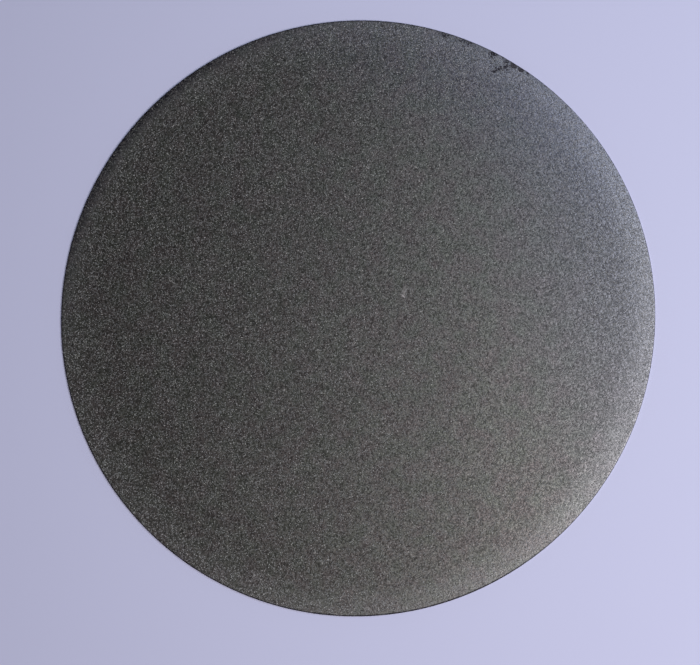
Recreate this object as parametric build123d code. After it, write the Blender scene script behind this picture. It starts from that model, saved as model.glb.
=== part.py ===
from build123d import *
import math
import os

# Flat diamond grinding disc without a centre hole: a round sheet-steel blank whose upper face
# carries an electroplated layer of nickel and diamond grit.
# Millimetres. +Z points out of the gritted face, +X and +Y lie in the disc, and the origin is at the
# centre of the bare back face.

# Whole disc
disc_diameter = 300.0
blank_thickness = 1.5

# Edge of the blank: the coated side is rolled over so that the plating can't break off a sharp
# corner, and the back only has its burr taken off
shoulder_radius = 0.7
back_chamfer = 0.2

# Plated layer: full thickness on the face, thinning round the shoulder to a lip on the side
coating_thickness = 0.3
lip_thickness = 0.08

# Flake that has come off the plating at the rim, down to the steel. Its ragged edge is three round
# bites: for each, the angle round the disc, its length along the rim and how far it reaches in
flake_bites = [
    {"angle": 56.1, "length": 3.6, "reach": 2.9},
    {"angle": 54.5, "length": 3.0, "reach": 2.4},
    {"angle": 56.0, "length": 14.6, "reach": 0.8},
]

# Two scratches that run from the flake into the face: the angle round the disc and the distance in
# from the rim of the middle of each, the turn of its line off the radius, and its length
scratches = [
    {"angle": 57.1, "inset": 3.7, "turn": -41.9, "length": 4.4},
    {"angle": 58.5, "inset": 7.2, "turn": -32.2, "length": 4.8},
]
scratch_depth = 0.2
scratch_vee_angle = 100.0

# Sizes that follow
rim_radius = disc_diameter / 2
blank_radius = rim_radius - lip_thickness
shoulder_start = blank_radius - shoulder_radius
shoulder_foot = blank_thickness - shoulder_radius
face_height = blank_thickness + coating_thickness


def shoulder_arc():
    """Quarter round of the blank's upper edge, from the side wall up to the face."""
    return CenterArc((shoulder_start, shoulder_foot), shoulder_radius, 0, 90)


def steel_blank():
    """Half section of the blank turned about the disc's axis."""
    with BuildPart() as blank:
        with BuildSketch(Plane.XZ):
            with BuildLine():
                Polyline(
                    (shoulder_start, blank_thickness),
                    (0, blank_thickness),
                    (0, 0),
                    (blank_radius - back_chamfer, 0),
                    (blank_radius, back_chamfer),
                    (blank_radius, shoulder_foot),
                )
                add(shoulder_arc())
            make_face()
        revolve(axis=Axis.Z)
    return blank.part


def plated_layer():
    """Half section of the layer: the blank's own shoulder inside, and outside a larger round set
    higher, so that the full thickness of the face runs out gradually to the thin lip."""
    outer_radius = rim_radius - shoulder_start
    with BuildPart() as layer:
        with BuildSketch(Plane.XZ):
            with BuildLine():
                add(shoulder_arc())
                Polyline(
                    (shoulder_start, blank_thickness),
                    (0, blank_thickness),
                    (0, face_height),
                    (shoulder_start, face_height),
                )
                CenterArc((shoulder_start, face_height - outer_radius), outer_radius, 0, 90)
                Polyline(
                    (rim_radius, face_height - outer_radius),
                    (rim_radius, shoulder_foot),
                    (blank_radius, shoulder_foot),
                )
            make_face()
        revolve(axis=Axis.Z)
    return layer.part


def flake_bite(angle, length, reach):
    """Round bite out of the rim that takes the plating off to its full depth."""
    bite_radius = ((length / 2) ** 2 + reach**2) / (2 * reach)
    bite = Cylinder(bite_radius, 2 * face_height, align=(Align.CENTER, Align.CENTER, Align.MIN))
    return Rot(Z=angle) * Pos(rim_radius - reach + bite_radius, 0, 0) * bite


def scratch(angle, inset, turn, length):
    """Groove left by a V-edged wheel that dips into the face and lifts out again, so that it is
    deepest in the middle and runs out at both ends."""
    wheel_radius = (length / 2) ** 2 / (2 * scratch_depth) + scratch_depth / 2
    vee_height = wheel_radius / 2
    vee_half_width = vee_height * math.tan(math.radians(scratch_vee_angle / 2))
    with BuildPart() as wheel:
        with BuildSketch(Plane.XY):
            with BuildLine():
                Polyline(
                    (wheel_radius, 0),
                    (wheel_radius - vee_height, vee_half_width),
                    (wheel_radius - vee_height, -vee_half_width),
                    close=True,
                )
            make_face()
        revolve(axis=Axis.Y)
    middle = Pos(rim_radius - inset, 0, face_height - scratch_depth + wheel_radius)
    return Rot(Z=angle) * middle * Rot(Z=turn) * wheel.part


def diamond_coating():
    """The plated layer with its wear."""
    layer = plated_layer()
    for bite in flake_bites:
        layer -= flake_bite(**bite)
    for groove in scratches:
        layer -= scratch(**groove)
    return layer


nodes = {
    "steel_blank": steel_blank(),
    "diamond_coating": diamond_coating(),
}

os.makedirs("parts", exist_ok=True)
for node, shape in nodes.items():
    export_step(shape, f"parts/{node}.step")
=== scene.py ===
import math
import random

import bmesh
import bpy
from mathutils import Matrix, Vector


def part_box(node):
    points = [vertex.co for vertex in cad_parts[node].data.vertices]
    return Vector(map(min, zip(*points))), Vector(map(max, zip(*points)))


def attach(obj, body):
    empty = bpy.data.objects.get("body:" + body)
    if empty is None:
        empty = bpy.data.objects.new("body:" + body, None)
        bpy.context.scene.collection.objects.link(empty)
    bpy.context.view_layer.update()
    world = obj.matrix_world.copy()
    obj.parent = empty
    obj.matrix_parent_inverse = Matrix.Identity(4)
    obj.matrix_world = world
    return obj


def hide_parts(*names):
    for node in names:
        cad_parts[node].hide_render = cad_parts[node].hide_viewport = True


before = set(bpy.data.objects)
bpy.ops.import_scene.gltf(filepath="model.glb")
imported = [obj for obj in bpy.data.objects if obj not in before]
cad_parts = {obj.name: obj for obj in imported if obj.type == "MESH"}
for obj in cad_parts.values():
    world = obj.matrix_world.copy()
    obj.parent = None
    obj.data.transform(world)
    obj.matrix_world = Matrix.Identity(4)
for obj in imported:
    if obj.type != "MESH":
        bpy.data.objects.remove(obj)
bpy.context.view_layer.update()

# Flat diamond grinding disc: a round sheet-steel blank whose upper face carries plated nickel with
# diamond grit in it. Metres, in the CAD's frame: +Z points out of the gritted face, and the origin
# is at the centre of the back. Angles round the disc are in degrees.

MM = 0.001
BAKE_MAP = "OFBake"

# Points nearer than this to a place count as being there
TINY = 0.001 * MM

# Sizes that the CAD gives
blank_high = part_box("steel_blank")[1]
coat_low, coat_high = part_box("diamond_coating")
rim_radius, blank_radius = coat_high.x, blank_high.x
face_height, blank_top, shoulder_foot = coat_high.z, blank_high.z, coat_low.z
shoulder_radius = blank_top - shoulder_foot
shoulder_start = blank_radius - shoulder_radius

# Plated nickel between the grains: its thickness on the face and at the lip, which leaves the
# grains standing up to the CAD's face, and its steps round the rim, over the shoulder and back
# inside it
NICKEL_FACE = 0.12 * MM
NICKEL_LIP = 0.03 * MM
RIM_STEPS = 880
GRID_STEPS = RIM_STEPS // 4
SHOULDER_STEPS = 6
INNER_STEPS = 4

# How uneven the nickel's face is, up and sideways, and how far from the shoulder that stops
RELIEF_HEIGHT = 0.015 * MM
RELIEF_SHIFT = 0.3 * MM
RELIEF_MARGIN = 1 * MM

# Wear, where the CAD has it: the three bites of the flake at the rim (angle, length, reach) and the
# two scratches that run from it (angle, distance in from the rim, turn off the radius, length),
# whose grooves have a depth and a V of their own in the nickel, because it lies lower
FLAKE_ANGLE = 56.0
FLAKE_BITES = [
    (56.1, 3.6 * MM, 2.9 * MM), (54.5, 3.0 * MM, 2.4 * MM), (FLAKE_ANGLE, 14.6 * MM, 0.8 * MM),
]
SCRATCHES = [(57.1, 3.7 * MM, -41.9, 4.4 * MM), (58.5, 7.2 * MM, -32.2, 4.8 * MM)]
SCRATCH_DEPTH = 0.11 * MM
SCRATCH_VEE = 140.0
WHEEL_STEPS = 512

# The plating breaks off between its grains, so the flake's edge is ragged: the width and depth of
# the chips, as coarse as the grains are drawn. Beside a scratch the grit is bare for a short way.
CHIP_WIDTH = 0.5 * MM
CHIP_DEPTH = 0.2 * MM
BARE_EDGE = 0.3 * MM

# Grit. A real grain of such a disc is about 0.3 mm, too fine to show in a picture of the whole
# disc, so a crystal is drawn about twice as wide: from its middle to a corner, the height of its
# tip over the nickel, how far its corners are knocked about, and how far it leans. Each of the six
# pieces has its own crystal, copied at random sizes, smaller where the grit is worn.
GRIT_PIECES = 6
GRAINS_PER_PIECE = 15500
GRAIN_RADIUS = 0.36 * MM
GRAIN_HEIGHT = 0.11 * MM
GRAIN_KNOCK = 0.15 * GRAIN_RADIUS
GRAIN_LEAN = math.radians(20)
GRAIN_MAP_SIZE = 2.4 * GRAIN_RADIUS
SMALLEST_GRAIN, LARGEST_GRAIN, WORN_GRAIN = (0.7, 0.7, 0.6), (1.3, 1.3, 1.0), 0.35
LEAN_SEED = 50

# Where grit stands: it starts a little above the foot of the shoulder and is full a little higher,
# and one stretch of the rim is worn thin (from one angle to another, its width, the grit left)
GRIT_FOOT, GRIT_RISE = 0.1 * MM, 0.6 * MM
WORN_FROM, WORN_TO, WORN_WIDTH, WORN_LEFT = 48.5, 73.0, 1.8 * MM, (0.1, 0.7)


def start_clean():
    """Object mode with nothing selected, as each new piece needs it."""
    if bpy.context.object and bpy.context.object.mode != "OBJECT":
        bpy.ops.object.mode_set(mode="OBJECT")
    bpy.ops.object.select_all(action="DESELECT")


def choose(test):
    """In edit mode, selects just the vertices whose place passes the test."""
    mesh = bmesh.from_edit_mesh(bpy.context.object.data)
    bpy.ops.mesh.select_mode(type="VERT")
    bpy.ops.mesh.select_all(action="DESELECT")
    for vertex in mesh.verts:
        vertex.select = test(vertex.co)
    mesh.select_flush_mode()
    bmesh.update_edit_mesh(bpy.context.object.data)


def pull_ring(radius_now, radius_next, rise):
    """Extrudes the selected ring of edges to another radius and height."""
    bpy.ops.mesh.extrude_edges_move()
    size = radius_next / radius_now
    bpy.ops.transform.resize(value=(size, size, 1), center_override=(0, 0, 0))
    bpy.ops.transform.translate(value=(0, 0, rise))


def put_in_order(settled):
    """In edit mode, puts the faces after the settled ones in one order. Extruding leaves it to
    chance, and the cuts and the scattered grit follow it."""
    mesh = bmesh.from_edit_mesh(bpy.context.object.data)
    mesh.verts.index_update()
    mesh.faces.index_update()
    count = len(mesh.verts)
    mesh.faces.sort(
        key=lambda face: face.index if face.index < settled
        else settled + face.verts[0].index * count + face.verts[1].index
    )
    bmesh.update_edit_mesh(bpy.context.object.data)


def apply_modifier(piece, name, kind, **settings):
    """Adds a modifier, sets it and applies it."""
    modifier = piece.modifiers.new(name, kind)
    for setting, value in settings.items():
        setattr(modifier, setting, value)
    start_clean()
    piece.select_set(True)
    bpy.context.view_layer.objects.active = piece
    bpy.ops.object.modifier_apply(modifier=name)


def lay_map(mesh, spread):
    """Gives a mesh its bake map: spread turns a corner's place, and whether its face looks up, into
    a place on the map."""
    corners = mesh.uv_layers[0]
    corners.name = BAKE_MAP
    for face in mesh.polygons:
        for loop in face.loop_indices:
            co = mesh.vertices[mesh.loops[loop].vertex_index].co
            corners.data[loop].uv = spread(co, face.normal.z > 0)


def colour(hex_code):
    """An sRGB hex colour as the linear one that Blender works in."""
    parts = [int(hex_code[i:i + 2], 16) / 255 for i in (1, 3, 5)]
    return [c / 12.92 if c <= 0.04045 else ((c + 0.055) / 1.055) ** 2.4 for c in parts] + [1]


def feed(tree, node, inputs):
    """Sets inputs of a node, each to a number, a hex colour or another node's output."""
    for name, value in inputs.items():
        if isinstance(value, bpy.types.NodeSocket):
            tree.links.new(value, node.inputs[name])
        elif isinstance(value, str) and value.startswith("#"):
            node.inputs[name].default_value = colour(value)
        else:
            node.inputs[name].default_value = value


def add(tree, kind, inputs=None, stops=(), **settings):
    """Adds a node and gives its outputs. A colour ramp's stops are positions and hex colours."""
    node = tree.nodes.new(kind)
    for name, value in settings.items():
        setattr(node, name, value)
    feed(tree, node, inputs or {})
    for number, (position, hex_code) in enumerate(stops):
        points = node.color_ramp.elements
        point = points[number] if number < len(points) else points.new(position)
        point.position, point.color = position, colour(hex_code)
    return node.outputs


# Camera, at the photograph's angle, aimed at the point that lies in the middle of the picture
CAMERA_DISTANCE = 0.6
CAMERA_DIRECTION = Vector((0.1208, -0.0878, 0.99)).normalized()
AIM = Vector((0.19, -9.65, 0)) * MM
LENS, SENSOR_WIDTH = 61.4, 36
camera_data = bpy.data.cameras.new("camera")
camera_data.lens, camera_data.sensor_width = LENS, SENSOR_WIDTH
camera = bpy.data.objects.new("camera", camera_data)
bpy.context.scene.collection.objects.link(camera)
camera_place = CAMERA_DIRECTION * CAMERA_DISTANCE
back = (camera_place - AIM).normalized()
right = Vector((0, 1, 0)).cross(back).normalized()
camera.matrix_world = Matrix.Translation(camera_place) @ (
    Matrix((right, back.cross(right), back)).transposed().to_4x4()
)
bpy.context.scene.camera = camera

# Nickel: a disc of even squares whose edge is pulled down over the shoulder and back up along it
start_clean()
nickel_top = blank_top + NICKEL_FACE
bpy.ops.mesh.primitive_circle_add(
    vertices=RIM_STEPS, radius=shoulder_start, location=(0, 0, nickel_top)
)
nickel = bpy.context.object
nickel.name = nickel.data.name = "nickel_bond"
bpy.ops.object.transform_apply(location=True)
bpy.ops.object.mode_set(mode="EDIT")
bpy.ops.mesh.select_all(action="SELECT")
bpy.ops.mesh.fill_grid(span=GRID_STEPS)
choose(lambda co: co.xy.length > shoulder_start - TINY)
outline = [
    (
        shoulder_start + (shoulder_radius + NICKEL_LIP) * math.sin(step),
        shoulder_foot + (shoulder_radius + NICKEL_FACE) * math.cos(step),
    )
    for step in [math.pi / 2 * i / SHOULDER_STEPS for i in range(SHOULDER_STEPS + 1)]
] + [
    (
        shoulder_start + shoulder_radius * math.cos(step),
        shoulder_foot + shoulder_radius * math.sin(step),
    )
    for step in [math.pi / 2 * i / INNER_STEPS for i in range(INNER_STEPS + 1)]
]
for (radius, height), (next_radius, next_height) in zip(outline, outline[1:]):
    pull_ring(radius, next_radius, next_height - height)
bpy.ops.mesh.edge_face_add()
bpy.ops.mesh.select_all(action="SELECT")
bpy.ops.mesh.normals_make_consistent(inside=False)
put_in_order(GRID_STEPS**2)
choose(lambda co: co.z > nickel_top - TINY and co.xy.length < shoulder_start - RELIEF_MARGIN)
bpy.ops.transform.vertex_random(offset=RELIEF_SHIFT, uniform=1, normal=0, seed=2)
flatten = RELIEF_HEIGHT / RELIEF_SHIFT
bpy.ops.transform.resize(value=(1, 1, flatten), center_override=(0, 0, nickel_top))
bpy.ops.object.mode_set(mode="OBJECT")

# Tools that cut the wear: a chipped round for each bite and a V-edged wheel for each scratch
bites, wheels = [], []
for angle, length, reach in FLAKE_BITES:
    bite_radius = ((length / 2) ** 2 + reach**2) / (2 * reach)
    start_clean()
    bpy.ops.mesh.primitive_cylinder_add(
        vertices=round(2 * math.pi * bite_radius / CHIP_WIDTH), radius=bite_radius,
        depth=4 * face_height,
    )
    bite = bpy.context.object
    bpy.ops.object.mode_set(mode="EDIT")
    bpy.ops.mesh.select_all(action="SELECT")
    bpy.ops.transform.vertex_random(offset=CHIP_DEPTH, seed=4)
    bpy.ops.object.mode_set(mode="OBJECT")
    bite.data.transform(
        Matrix.Rotation(math.radians(angle), 4, "Z")
        @ Matrix.Translation((rim_radius - reach + bite_radius, 0, 0))
    )
    bites.append(bite)
for angle, inset, turned, length in SCRATCHES:
    wheel_radius = (length / 2) ** 2 / (2 * SCRATCH_DEPTH) + SCRATCH_DEPTH / 2
    half_width = 2 * SCRATCH_DEPTH * math.tan(math.radians(SCRATCH_VEE / 2))
    start_clean()
    bpy.ops.mesh.primitive_cylinder_add(
        vertices=WHEEL_STEPS, radius=wheel_radius, depth=2 * half_width,
        rotation=(math.pi / 2, 0, 0),
    )
    wheel = bpy.context.object
    bpy.ops.object.transform_apply(rotation=True)
    bpy.ops.object.mode_set(mode="EDIT")
    bpy.ops.mesh.select_all(action="SELECT")
    bpy.ops.mesh.bisect(plane_co=(0, 0, 0), plane_no=(0, 1, 0))
    choose(lambda co: abs(co.y) > half_width / 2)
    shrink = 1 - 2 * SCRATCH_DEPTH / wheel_radius
    bpy.ops.transform.resize(value=(shrink, 1, shrink))
    bpy.ops.object.mode_set(mode="OBJECT")
    wheel.data.transform(
        Matrix.Rotation(math.radians(angle), 4, "Z")
        @ Matrix.Translation((rim_radius - inset, 0, nickel_top - SCRATCH_DEPTH + wheel_radius))
        @ Matrix.Rotation(math.radians(turned), 4, "Z")
    )
    wheels.append(wheel)
for tool in bites + wheels:
    apply_modifier(nickel, "cut", "BOOLEAN", object=tool, operation="DIFFERENCE", solver="EXACT")
bpy.context.view_layer.update()

# How much grit each point of the nickel carries
noise = random.Random(11)
grit_group = nickel.vertex_groups.new(name="grit")
for vertex in nickel.data.vertices:
    radius, height = vertex.co.xy.length, vertex.co.z - shoulder_foot
    angle = math.degrees(math.atan2(vertex.co.y, vertex.co.x))
    weight = 0.0
    if math.hypot(max(radius - shoulder_start, 0), height) > shoulder_radius + NICKEL_LIP / 2:
        weight = max(0, min(1, (height - GRIT_FOOT) / GRIT_RISE)) ** 0.5
    if WORN_FROM < angle < WORN_TO and radius > rim_radius - WORN_WIDTH:
        weight *= noise.uniform(*WORN_LEFT)
    grit_group.add([vertex.index], weight, "REPLACE")


def scatter(crystal, seed):
    """Geometry nodes that stand copies of a crystal on the nickel at random, clear of the
    scratches."""
    tree = bpy.data.node_groups.new("scatter_grit", "GeometryNodeTree")
    tree.interface.new_socket("Geometry", in_out="INPUT", socket_type="NodeSocketGeometry")
    tree.interface.new_socket("Geometry", in_out="OUTPUT", socket_type="NodeSocketGeometry")
    sheet = add(tree, "NodeGroupInput")[0]
    weight = add(
        tree, "GeometryNodeInputNamedAttribute", {"Name": grit_group.name}, data_type="FLOAT"
    )[0]
    density = add(
        tree, "ShaderNodeMath", {0: weight, 1: GRAINS_PER_PIECE / (math.pi * rim_radius**2)},
        operation="MULTIPLY",
    )[0]
    points = add(
        tree, "GeometryNodeDistributePointsOnFaces",
        {"Mesh": sheet, "Density": density, "Seed": seed},
    )
    clear = points["Points"]
    for wheel in wheels:
        cutter = add(tree, "GeometryNodeObjectInfo", {"Object": wheel})["Geometry"]
        gap = add(tree, "GeometryNodeProximity", {0: cutter}, target_element="FACES")["Distance"]
        near = add(tree, "ShaderNodeMath", {0: gap, 1: BARE_EDGE}, operation="LESS_THAN")[0]
        clear = add(
            tree, "GeometryNodeDeleteGeometry", {"Geometry": clear, "Selection": near},
            domain="POINT",
        )[0]
    shape = add(tree, "GeometryNodeObjectInfo", {"Object": crystal, "As Instance": True})
    size = add(
        tree, "FunctionNodeRandomValue",
        {"Min": SMALLEST_GRAIN, "Max": LARGEST_GRAIN, "Seed": seed}, data_type="FLOAT_VECTOR",
    )[0]
    worn = add(tree, "ShaderNodeMapRange", {"Value": weight, "To Min": WORN_GRAIN, "To Max": 1})[0]
    size = add(tree, "ShaderNodeVectorMath", {0: size, "Scale": worn}, operation="SCALE")[0]
    stood = add(
        tree, "GeometryNodeInstanceOnPoints",
        {
            "Points": clear, "Instance": shape["Geometry"], "Rotation": points["Rotation"],
            "Scale": size,
        },
    )[0]
    lean = add(
        tree, "FunctionNodeRandomValue",
        {
            "Min": (-GRAIN_LEAN, -GRAIN_LEAN, -math.pi), "Max": (GRAIN_LEAN, GRAIN_LEAN, math.pi),
            "Seed": seed + LEAN_SEED,
        },
        data_type="FLOAT_VECTOR",
    )[0]
    leaned = add(tree, "GeometryNodeRotateInstances", {"Instances": stood, "Rotation": lean})[0]
    numbered = add(
        tree, "GeometryNodeStoreNamedAttribute",
        {"Geometry": leaned, "Name": "grain", "Value": add(tree, "GeometryNodeInputIndex")[0]},
        data_type="INT", domain="INSTANCE",
    )[0]
    real = add(tree, "GeometryNodeRealizeInstances", {"Geometry": numbered})[0]
    # Each crystal's part of the bake map is moved to a square of its own, with a few to spare
    tiles = math.ceil(math.sqrt(1.05 * GRAINS_PER_PIECE))
    whole = add(
        tree, "GeometryNodeInputNamedAttribute", {"Name": BAKE_MAP}, data_type="FLOAT_VECTOR"
    )[0]
    grain = add(tree, "GeometryNodeInputNamedAttribute", {"Name": "grain"}, data_type="INT")[0]
    column = add(tree, "ShaderNodeMath", {0: grain, 1: tiles}, operation="MODULO")[0]
    row = add(tree, "ShaderNodeMath", {0: grain, 1: tiles}, operation="DIVIDE")[0]
    row = add(tree, "ShaderNodeMath", {0: row}, operation="FLOOR")[0]
    corner = add(tree, "ShaderNodeCombineXYZ", {0: column, 1: row})[0]
    tile = add(tree, "ShaderNodeVectorMath", {0: whole, 1: corner}, operation="ADD")[0]
    tile = add(tree, "ShaderNodeVectorMath", {0: tile, "Scale": 1 / tiles}, operation="SCALE")[0]
    laid = add(
        tree, "GeometryNodeStoreNamedAttribute",
        {"Geometry": real, "Name": BAKE_MAP, "Value": tile}, data_type="FLOAT2", domain="CORNER",
    )[0]
    add(tree, "NodeGroupOutput", {0: laid})
    return tree


def crystal_map(co, up):
    """A crystal from above, in the middle of its square."""
    return co.x / GRAIN_MAP_SIZE + 0.5, co.y / GRAIN_MAP_SIZE + 0.5


# Grit: a four-sided cone whose base is pulled down to a second tip, knocked a little out of shape
grit = []
for index in range(GRIT_PIECES):
    start_clean()
    bpy.ops.mesh.primitive_cone_add(
        vertices=4, radius1=GRAIN_RADIUS, depth=GRAIN_RADIUS, end_fill_type="TRIFAN"
    )
    crystal = bpy.context.object
    bpy.ops.object.mode_set(mode="EDIT")
    bpy.ops.mesh.select_all(action="SELECT")
    bpy.ops.transform.translate(value=(0, 0, GRAIN_RADIUS / 2))
    choose(lambda co: co.z < 0.1 * GRAIN_RADIUS and co.xy.length < 0.1 * GRAIN_RADIUS)
    bpy.ops.transform.translate(value=(0, 0, -GRAIN_RADIUS))
    bpy.ops.mesh.select_all(action="SELECT")
    bpy.ops.transform.vertex_random(offset=GRAIN_KNOCK, seed=index + 1)
    bpy.ops.transform.resize(value=(1, 1, GRAIN_HEIGHT / GRAIN_RADIUS))
    bpy.ops.object.mode_set(mode="OBJECT")
    lay_map(crystal.data, crystal_map)
    start_clean()
    nickel.select_set(True)
    bpy.context.view_layer.objects.active = nickel
    bpy.ops.object.duplicate()
    piece = bpy.context.object
    piece.name = piece.data.name = f"diamond_grit_{index + 1}"
    apply_modifier(piece, "scatter", "NODES", node_group=scatter(crystal, index + 1))
    # No tip stands out of the CAD's face or rim
    bpy.ops.object.mode_set(mode="EDIT")
    choose(lambda co: co.z > face_height)
    bpy.ops.transform.resize(value=(1, 1, 0), center_override=(0, 0, face_height))
    choose(lambda co: co.xy.length > rim_radius)
    bpy.ops.transform.resize(value=(0.999, 0.999, 1), center_override=(0, 0, 0))
    bpy.ops.object.mode_set(mode="OBJECT")
    grit.append(piece)
    bpy.data.objects.remove(crystal)
for tool in bites + wheels:
    bpy.data.objects.remove(tool)


def nickel_map(co, up):
    """The face and the rolled edge from above, and the hidden underside small in a corner."""
    size, middle = (0.99, 0.5) if up else (0.14, 0.073)
    return co.x / (2 * rim_radius) * size + middle, co.y / (2 * rim_radius) * size + middle


lay_map(nickel.data, nickel_map)

# The inputs of a Mix node that two colours go into, and the output that their blend comes out of
FIRST, SECOND, MIXED = 6, 7, 2

# Directions across the disc: of the rim's painted shade, of the lit side where its dark line fades
# out, of the strongest painted highlight, of the painted bluish light and of the painted bluish
# reflection
SHADE_TOWARDS = 138.0
LIT_SIDE_TOWARDS = 10.0
HIGHLIGHT_TOWARDS = -20.0
COOL_LIGHT_TOWARDS = 15.0
BLUE_REFLECTION_TOWARDS = 62.0

# How much the painted highlight pales the tone towards the rim and more towards the lit side, and
# how much painted bluish reflection there is
RIM_HIGHLIGHT, LIT_SIDE_HIGHLIGHT, BLUE_REFLECTION_SHARE = 0.07, 0.1, 0.075

# Smudges beside the flake (angle, distance in from the rim, length along it, width)
SMUDGES = [
    (70.9, 1.3 * MM, 4.2 * MM, 3.6 * MM), (67.3, 1.1 * MM, 3.0 * MM, 2.8 * MM),
    (65.9, 1.4 * MM, 3.6 * MM, 3.4 * MM), (60.8, 1.3 * MM, 5.6 * MM, 3.6 * MM),
    (57.8, 1.2 * MM, 3.0 * MM, 3.0 * MM), (53.0, 0.6 * MM, 3.0 * MM, 1.8 * MM),
]

# A smear lies along each scratch: how many times its length, and its width. A smudge or smear
# hides this share of what is under it.
SMEAR_LENGTH, SMEAR_WIDTH = 1.7, 2 * MM
MARK_SHARE = 0.85

# The outlines of smudges and smears are stirred: how fine, and how far from side to side
STIR_SIZE, STIR_REACH = 0.9 * MM, 7 * MM

# A bright scrape near the middle and the pale plume beside it (middle, turn, length, width), and
# how strongly they show
SCRAPE = ((27.1 * MM, 8.3 * MM), -40, 3.6 * MM, 1.5 * MM)
PLUME = ((27.7 * MM, 10.9 * MM), 75, 8 * MM, 4 * MM)
SCRAPE_SHARE, PLUME_SHARE = 0.8, 0.22

# Dirt and painted shade show in flecks about as coarse as the grains are drawn, and so do the
# painted highlight and bluish reflection; on the rolled edge the dark line, partly dirt and partly
# painted shade, lies in longer patches. Dirt and painted shade share one dark tone.
DARK_FLECK = 0.7 * MM
HIGHLIGHT_FLECK = 0.6 * MM
DARK_PATCH = 2 * MM
DIRT_AND_SHADE_TONE = "#23212b"

# Widths of the clouds of tarnish, of the nodules of nickel and of the grinding lines on the steel
CLOUD, NODULE, GRINDING_LINE = 9 * MM, 0.58 * MM, 0.5 * MM

# Roughness of each surface, typical for it and then matched to the photograph
NICKEL_ROUGHNESS, DIAMOND_ROUGHNESS, STEEL_ROUGHNESS = 0.42, 0.58, 0.35
DARK_MARK_ROUGHNESS, BARED_ROUGHNESS = 0.8, 0.75
DIAMOND_IOR = 2.417


def on_rim(angle, inset=0.0):
    """The place at an angle round the disc, at a distance in from the rim."""
    a = math.radians(angle)
    return (rim_radius - inset) * math.cos(a), (rim_radius - inset) * math.sin(a)


def near_rim(tree, place, start, end, most=1):
    """0 at one distance from the disc's axis and the most at another, smooth in between."""
    flat = add(tree, "ShaderNodeVectorMath", {0: place, 1: (1, 1, 0)}, operation="MULTIPLY")[0]
    radius = add(tree, "ShaderNodeVectorMath", {0: flat}, operation="LENGTH")["Value"]
    return add(
        tree, "ShaderNodeMapRange",
        {"Value": radius, "From Min": start, "From Max": end, "To Max": most},
        interpolation_type="SMOOTHSTEP",
    )[0]


def on_side(tree, place, angle, start, end, most=1):
    """0 at one distance from the middle towards an angle and the most at another, both as shares
    of the disc's radius."""
    a = math.radians(angle)
    along = add(
        tree, "ShaderNodeVectorMath", {0: place, 1: (math.cos(a), math.sin(a), 0)},
        operation="DOT_PRODUCT",
    )["Value"]
    return add(
        tree, "ShaderNodeMapRange",
        {
            "Value": along, "From Min": start * rim_radius, "From Max": end * rim_radius,
            "To Max": most,
        },
        interpolation_type="SMOOTHSTEP",
    )[0]


def flecks(tree, place, size, low, high, least=0, most=1, detail=2):
    """Flecks of one size: the least where a noise is at low, the most where it is at high."""
    noise = add(tree, "ShaderNodeTexNoise", {"Vector": place, "Scale": 1 / size, "Detail": detail})
    return add(
        tree, "ShaderNodeMapRange",
        {"Value": noise["Fac"], "From Min": low, "From Max": high, "To Min": least, "To Max": most},
        interpolation_type="SMOOTHSTEP",
    )[0]


def spot(tree, place, middle, turn, length, width):
    """A soft oval mark on the face: 1 in the middle, 0 at its edge."""
    local = add(
        tree, "ShaderNodeMapping",
        {
            "Vector": place, "Location": (*middle, 0), "Rotation": (0, 0, math.radians(turn)),
            "Scale": (length / 2, width / 2, 1),
        },
        vector_type="TEXTURE",
    )[0]
    return add(tree, "ShaderNodeTexGradient", {"Vector": local}, gradient_type="SPHERICAL")["Fac"]


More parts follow.
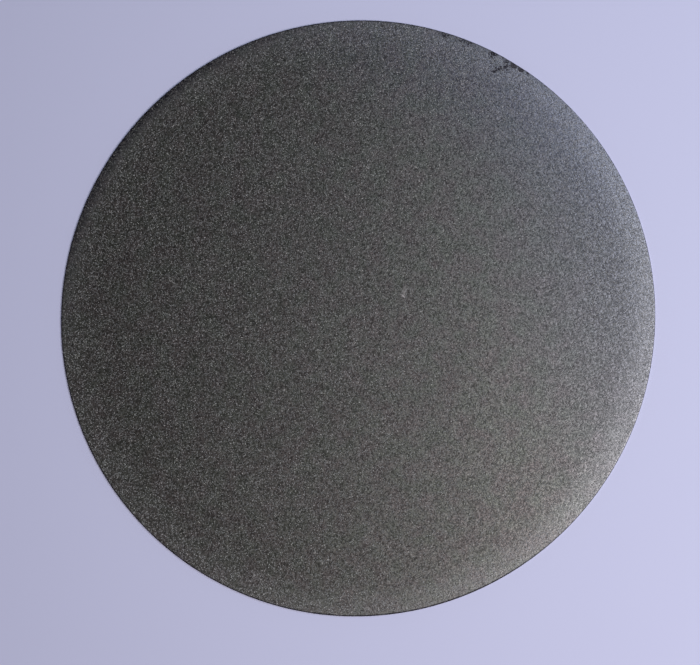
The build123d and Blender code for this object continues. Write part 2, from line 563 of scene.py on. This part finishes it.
def dirt_and_painted_shade(tree, place):
    """How much dirt and painted shade lies on a place: a broken dark line on the rolled edge,
    partly dirt and partly painted shade, that fades out on the lit side; a soft flecked band of
    painted shade inside it on the side away from the light; and ragged smudges of dirt beside the
    flake and smears along the scratches."""
    # A dark line on the rolled edge, partly dirt and partly painted shade, faded out towards the
    # lit side
    line = near_rim(tree, place, rim_radius - 1.1 * MM, rim_radius - 0.4 * MM)
    patches = flecks(tree, place, DARK_PATCH, 0.1, 0.5, detail=1)
    line = add(tree, "ShaderNodeMath", {0: line, 1: patches}, operation="MULTIPLY")[0]
    away_from_light = on_side(tree, place, LIT_SIDE_TOWARDS, 0.95, 0.1)
    line = add(tree, "ShaderNodeMath", {0: line, 1: away_from_light}, operation="MULTIPLY")[0]

    # Painted shade: a darker flecked band inside the rim on the side away from the light
    band = near_rim(tree, place, rim_radius - 10 * MM, rim_radius - 0.5 * MM)
    shaded_side = on_side(tree, place, SHADE_TOWARDS, 0.55, 1)
    band = add(tree, "ShaderNodeMath", {0: band, 1: shaded_side}, operation="MULTIPLY")[0]
    thin = flecks(tree, place, DARK_FLECK, 0.3, 0.6)
    band = add(tree, "ShaderNodeMath", {0: band, 1: thin}, operation="MULTIPLY")[0]
    dirt_and_shade = add(tree, "ShaderNodeMath", {0: line, 1: band}, operation="MAXIMUM")[0]

    stir = add(tree, "ShaderNodeTexNoise", {"Vector": place, "Scale": 1 / STIR_SIZE})["Color"]
    stir = add(
        tree, "ShaderNodeVectorMath", {0: stir, 1: (0.5, 0.5, 0.5)}, operation="SUBTRACT"
    )[0]
    stir = add(tree, "ShaderNodeVectorMath", {0: stir, "Scale": STIR_REACH}, operation="SCALE")[0]
    stirred = add(tree, "ShaderNodeVectorMath", {0: place, 1: stir}, operation="ADD")[0]
    spots = [
        spot(tree, stirred, on_rim(angle, inset), angle + 90, length, width)
        for angle, inset, length, width in SMUDGES
    ] + [
        spot(
            tree, stirred, on_rim(angle, inset), angle + turned, SMEAR_LENGTH * length, SMEAR_WIDTH
        )
        for angle, inset, turned, length in SCRATCHES
    ]
    mark = spots[0]
    for other in spots[1:]:
        mark = add(tree, "ShaderNodeMath", {0: mark, 1: other}, operation="MAXIMUM")[0]
    thin = flecks(tree, place, DARK_FLECK, 0.22, 0.52)
    mark = add(tree, "ShaderNodeMath", {0: mark, 1: thin}, operation="MULTIPLY")[0]
    mark = add(
        tree, "ShaderNodeMapRange",
        {"Value": mark, "From Min": 0.04, "From Max": 0.4, "To Max": MARK_SHARE},
        interpolation_type="SMOOTHSTEP",
    )[0]
    return add(tree, "ShaderNodeMath", {0: dirt_and_shade, 1: mark}, operation="MAXIMUM")[0]


def painted_rim_highlight(tree, place, tone):
    """A painted highlight: the tone is paler towards a rim, most towards the lit side. Towards one
    side lies a faint painted bluish reflection."""
    # Painted highlight towards the rim, stronger towards the lit side
    rise = near_rim(tree, place, 0.86 * rim_radius, 0.97 * rim_radius, most=RIM_HIGHLIGHT)
    edge = near_rim(tree, place, 0.9 * rim_radius, 0.99 * rim_radius)
    lit_rim = on_side(tree, place, HIGHLIGHT_TOWARDS, -0.7, 1, most=LIT_SIDE_HIGHLIGHT)
    lit_rim = add(tree, "ShaderNodeMath", {0: edge, 1: lit_rim}, operation="MULTIPLY")[0]
    share = add(tree, "ShaderNodeMath", {0: rise, 1: lit_rim}, operation="ADD")[0]
    specks = flecks(tree, place, HIGHLIGHT_FLECK, 0.35, 0.65, least=0.1, most=1.9)
    share = add(tree, "ShaderNodeMath", {0: share, 1: specks}, operation="MULTIPLY")[0]
    tone = add(
        tree, "ShaderNodeMix", {"Factor": share, FIRST: tone, SECOND: "#c9c8cc"},
        data_type="RGBA",
    )[MIXED]
    # Painted bluish reflection towards one side
    blue_reflection = on_side(tree, place, BLUE_REFLECTION_TOWARDS, 0.55, 1, most=BLUE_REFLECTION_SHARE)
    blue_reflection = add(tree, "ShaderNodeMath", {0: blue_reflection, 1: specks}, operation="MULTIPLY")[0]
    return add(
        tree, "ShaderNodeMix", {"Factor": blue_reflection, FIRST: tone, SECOND: "#b9c0ea"},
        data_type="RGBA",
    )[MIXED]


def tarnish_and_cool_light(tree, place, tone):
    """Faint clouds of tint over a tone, some greenish and some rosy, and a painted bluish light
    cast towards one side of the rim."""
    cloud = add(tree, "ShaderNodeTexNoise", {"Vector": place, "Scale": 1 / CLOUD})["Fac"]
    tint = add(
        tree, "ShaderNodeValToRGB", {"Fac": cloud},
        stops=[(0.35, "#f4faf3"), (0.5, "#fbfaf8"), (0.65, "#fcf4f6")],
    )["Color"]
    # Painted bluish light towards one side
    cool_light = on_side(tree, place, COOL_LIGHT_TOWARDS, 0.35, 1)
    tint = add(
        tree, "ShaderNodeMix", {"Factor": cool_light, FIRST: tint, SECOND: "#eff1ff"},
        data_type="RGBA",
    )[MIXED]
    return add(
        tree, "ShaderNodeMix", {"Factor": 1, FIRST: tone, SECOND: tint}, data_type="RGBA",
        blend_type="MULTIPLY",
    )[MIXED]


def pale_mark(tree, place, tone):
    """A short bright scrape near the middle with a soft pale plume beside it."""
    scrape = add(
        tree, "ShaderNodeMapRange",
        {"Value": spot(tree, place, *SCRAPE), "From Max": 0.9, "To Max": SCRAPE_SHARE},
        interpolation_type="SMOOTHSTEP",
    )[0]
    plume = add(
        tree, "ShaderNodeMapRange", {"Value": spot(tree, place, *PLUME), "To Max": PLUME_SHARE},
        interpolation_type="SMOOTHSTEP",
    )[0]
    mark = add(tree, "ShaderNodeMath", {0: scrape, 1: plume}, operation="MAXIMUM")[0]
    return add(
        tree, "ShaderNodeMix", {"Factor": mark, FIRST: tone, SECOND: "#f0e8e8"}, data_type="RGBA"
    )[MIXED]


def weathered_and_lit(tree, place, tone):
    """A tone of the gritted face with its tarnish, wear and dirt, its painted shade, painted
    highlight and painted bluish light, and how much dirt and painted shade there is.
    """
    tone = painted_rim_highlight(tree, place, tarnish_and_cool_light(tree, place, tone))
    # Dirt and painted shade, mixed into one dark tone
    dirt_and_shade = dirt_and_painted_shade(tree, place)
    tone = add(
        tree, "ShaderNodeMix", {"Factor": dirt_and_shade, FIRST: tone, SECOND: DIRT_AND_SHADE_TONE}, data_type="RGBA"
    )[MIXED]
    return pale_mark(tree, place, tone), dirt_and_shade


def new_material(name):
    """A material with its node tree and its surface shader."""
    material = bpy.data.materials.new(name)
    material.use_nodes = True
    return material, material.node_tree, material.node_tree.nodes["Principled BSDF"]


# Electroplated nickel between the grains: dull grey metal that glows softly toward the light.
# Its nodules are drawn about as wide as the grains, as coarse as a picture of the whole disc needs.
material, tree, surface = new_material("matte_plated_nickel")
place = add(tree, "ShaderNodeTexCoord")["Object"]
nodules = add(tree, "ShaderNodeTexVoronoi", {"Vector": place, "Scale": 1 / NODULE})
tone = add(
    tree, "ShaderNodeValToRGB", {"Fac": nodules["Color"]},
    stops=[(0.2, "#575655"), (0.5, "#757472"), (0.8, "#959391")],
)["Color"]
tone, dirt_and_shade = weathered_and_lit(tree, place, tone)
bump = add(
    tree, "ShaderNodeBump",
    {"Strength": 0.3, "Distance": 0.06 * MM, "Height": nodules["Distance"]}, invert=True,
)[0]
# Where dirt and painted shade lie, the nickel is rougher
roughness = add(
    tree, "ShaderNodeMapRange",
    {"Value": dirt_and_shade, "To Min": NICKEL_ROUGHNESS, "To Max": DARK_MARK_ROUGHNESS},
)[0]
feed(tree, surface, {"Base Color": tone, "Metallic": 1, "Roughness": roughness, "Normal": bump})
nickel.data.materials.append(material)

# Synthetic diamond: dark grey crystals, each its own tone, whose facets glint. Dirt and painted
# shade take away their own shine, which a metal as dark as the dirt doesn't have.
material, tree, surface = new_material("synthetic_diamond_crystals")
place = add(tree, "ShaderNodeTexCoord")["Object"]
island = add(tree, "ShaderNodeNewGeometry")["Random Per Island"]
tone = add(
    tree, "ShaderNodeValToRGB", {"Fac": island},
    stops=[(0, "#202020"), (0.75, "#434342"), (0.9, "#626160"), (1, "#959390")],
)["Color"]
tone, dirt_and_shade = weathered_and_lit(tree, place, tone)
roughness = add(
    tree, "ShaderNodeMapRange",
    {"Value": dirt_and_shade, "To Min": DIAMOND_ROUGHNESS, "To Max": DARK_MARK_ROUGHNESS},
)[0]
feed(
    tree, surface,
    {"Base Color": tone, "Metallic": dirt_and_shade, "Roughness": roughness, "IOR": DIAMOND_IOR},
)
for piece in grit:
    piece.data.materials.clear()
    piece.data.materials.append(material)

# Ground sheet steel: parallel grinding lines, drawn coarser than the real ones to show. Where the
# flake has bared it, it is dark in flecks and loses its metal shine.
material, tree, surface = new_material("ground_sheet_steel")
place = add(tree, "ShaderNodeTexCoord")["Object"]
lay = add(tree, "ShaderNodeMapping", {"Vector": place, "Scale": (1, 0.02, 1)})[0]
lines = add(
    tree, "ShaderNodeTexNoise", {"Vector": lay, "Scale": 1 / GRINDING_LINE, "Detail": 3}
)["Fac"]
tone = add(
    tree, "ShaderNodeValToRGB", {"Fac": lines}, stops=[(0.3, "#9a9a9b"), (0.7, "#c4c4c4")]
)["Color"]
bared = add(
    tree, "ShaderNodeMapRange",
    {"Value": spot(tree, place, on_rim(FLAKE_ANGLE), 0, 20 * MM, 20 * MM), "From Max": 0.2},
    interpolation_type="SMOOTHSTEP",
)[0]
darkened_flecks = flecks(tree, place, DARK_FLECK, 0.35, 0.6, least=0.9)
darkened_flecks = add(tree, "ShaderNodeMath", {0: bared, 1: darkened_flecks}, operation="MULTIPLY")[0]
tone = add(
    tree, "ShaderNodeMix", {"Factor": darkened_flecks, FIRST: tone, SECOND: "#24212b"}, data_type="RGBA"
)[MIXED]
shine = add(tree, "ShaderNodeMapRange", {"Value": bared, "To Min": 1, "To Max": 0})[0]
roughness = add(
    tree, "ShaderNodeMapRange",
    {"Value": bared, "To Min": STEEL_ROUGHNESS, "To Max": BARED_ROUGHNESS},
)[0]
bump = add(tree, "ShaderNodeBump", {"Strength": 0.3, "Distance": 0.02 * MM, "Height": lines})[0]
feed(tree, surface, {"Base Color": tone, "Metallic": shine, "Roughness": roughness, "Normal": bump})
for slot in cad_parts["steel_blank"].material_slots:
    slot.material = material

for piece in [nickel] + grit:
    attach(piece, "root")
    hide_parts("diamond_coating")

# Floor, plain and pale
FLOOR_RADIUS = 0.6
start_clean()
bpy.ops.mesh.primitive_circle_add(vertices=128, radius=FLOOR_RADIUS, fill_type="NGON")
floor = bpy.context.object
floor.name = "floor"
material, tree, surface = new_material("pale_floor")
feed(tree, surface, {"Base Color": "#d0d1ee", "Roughness": 0.8})
floor.data.materials.append(material)

# Light: two soft boxes at one height, of one size, each square to the middle of the disc
SOFTBOX_DISTANCE, SOFTBOX_SIZE, SOFTBOX_FROM_ZENITH = 1.3, 0.6, 36
SOFTBOXES = [
    ("soft_window", -30, 10.9, (1, 0.96, 0.95)), ("cool_window", 30, 6.4, (0.62, 0.71, 0.84)),
]
for name, azimuth, watts, tint in SOFTBOXES:
    light = bpy.data.lights.new(name, "AREA")
    light.shape, light.size, light.energy, light.color = "SQUARE", SOFTBOX_SIZE, watts, tint
    lamp = bpy.data.objects.new(name, light)
    bpy.context.scene.collection.objects.link(lamp)
    a, z = math.radians(azimuth), math.radians(SOFTBOX_FROM_ZENITH)
    direction = Vector((math.sin(z) * math.cos(a), math.sin(z) * math.sin(a), math.cos(z)))
    lamp.location = direction * SOFTBOX_DISTANCE
    lamp.rotation_euler = direction.to_track_quat("Z", "Y").to_euler()

# A dim room overhead and a pale backdrop from just above the horizon down
DIM_ROOM = (0.058, 0.053, 0.047, 1)
BACKDROP = (0.52, 0.54, 0.66, 1)
world = bpy.data.worlds.new("room")
bpy.context.scene.world = world
world.use_nodes = True
tree = world.node_tree
direction = add(tree, "ShaderNodeTexCoord")["Generated"]
height = add(tree, "ShaderNodeSeparateXYZ", {0: direction})["Z"]
above = add(
    tree, "ShaderNodeMapRange", {"Value": height, "From Min": 0.05, "From Max": 0.45},
    interpolation_type="SMOOTHSTEP",
)[0]
sky = add(
    tree, "ShaderNodeMix", {"Factor": above, FIRST: BACKDROP, SECOND: DIM_ROOM}, data_type="RGBA"
)[MIXED]
feed(tree, tree.nodes["Background"], {"Color": sky})
bpy.context.scene.view_settings.view_transform = "Standard"
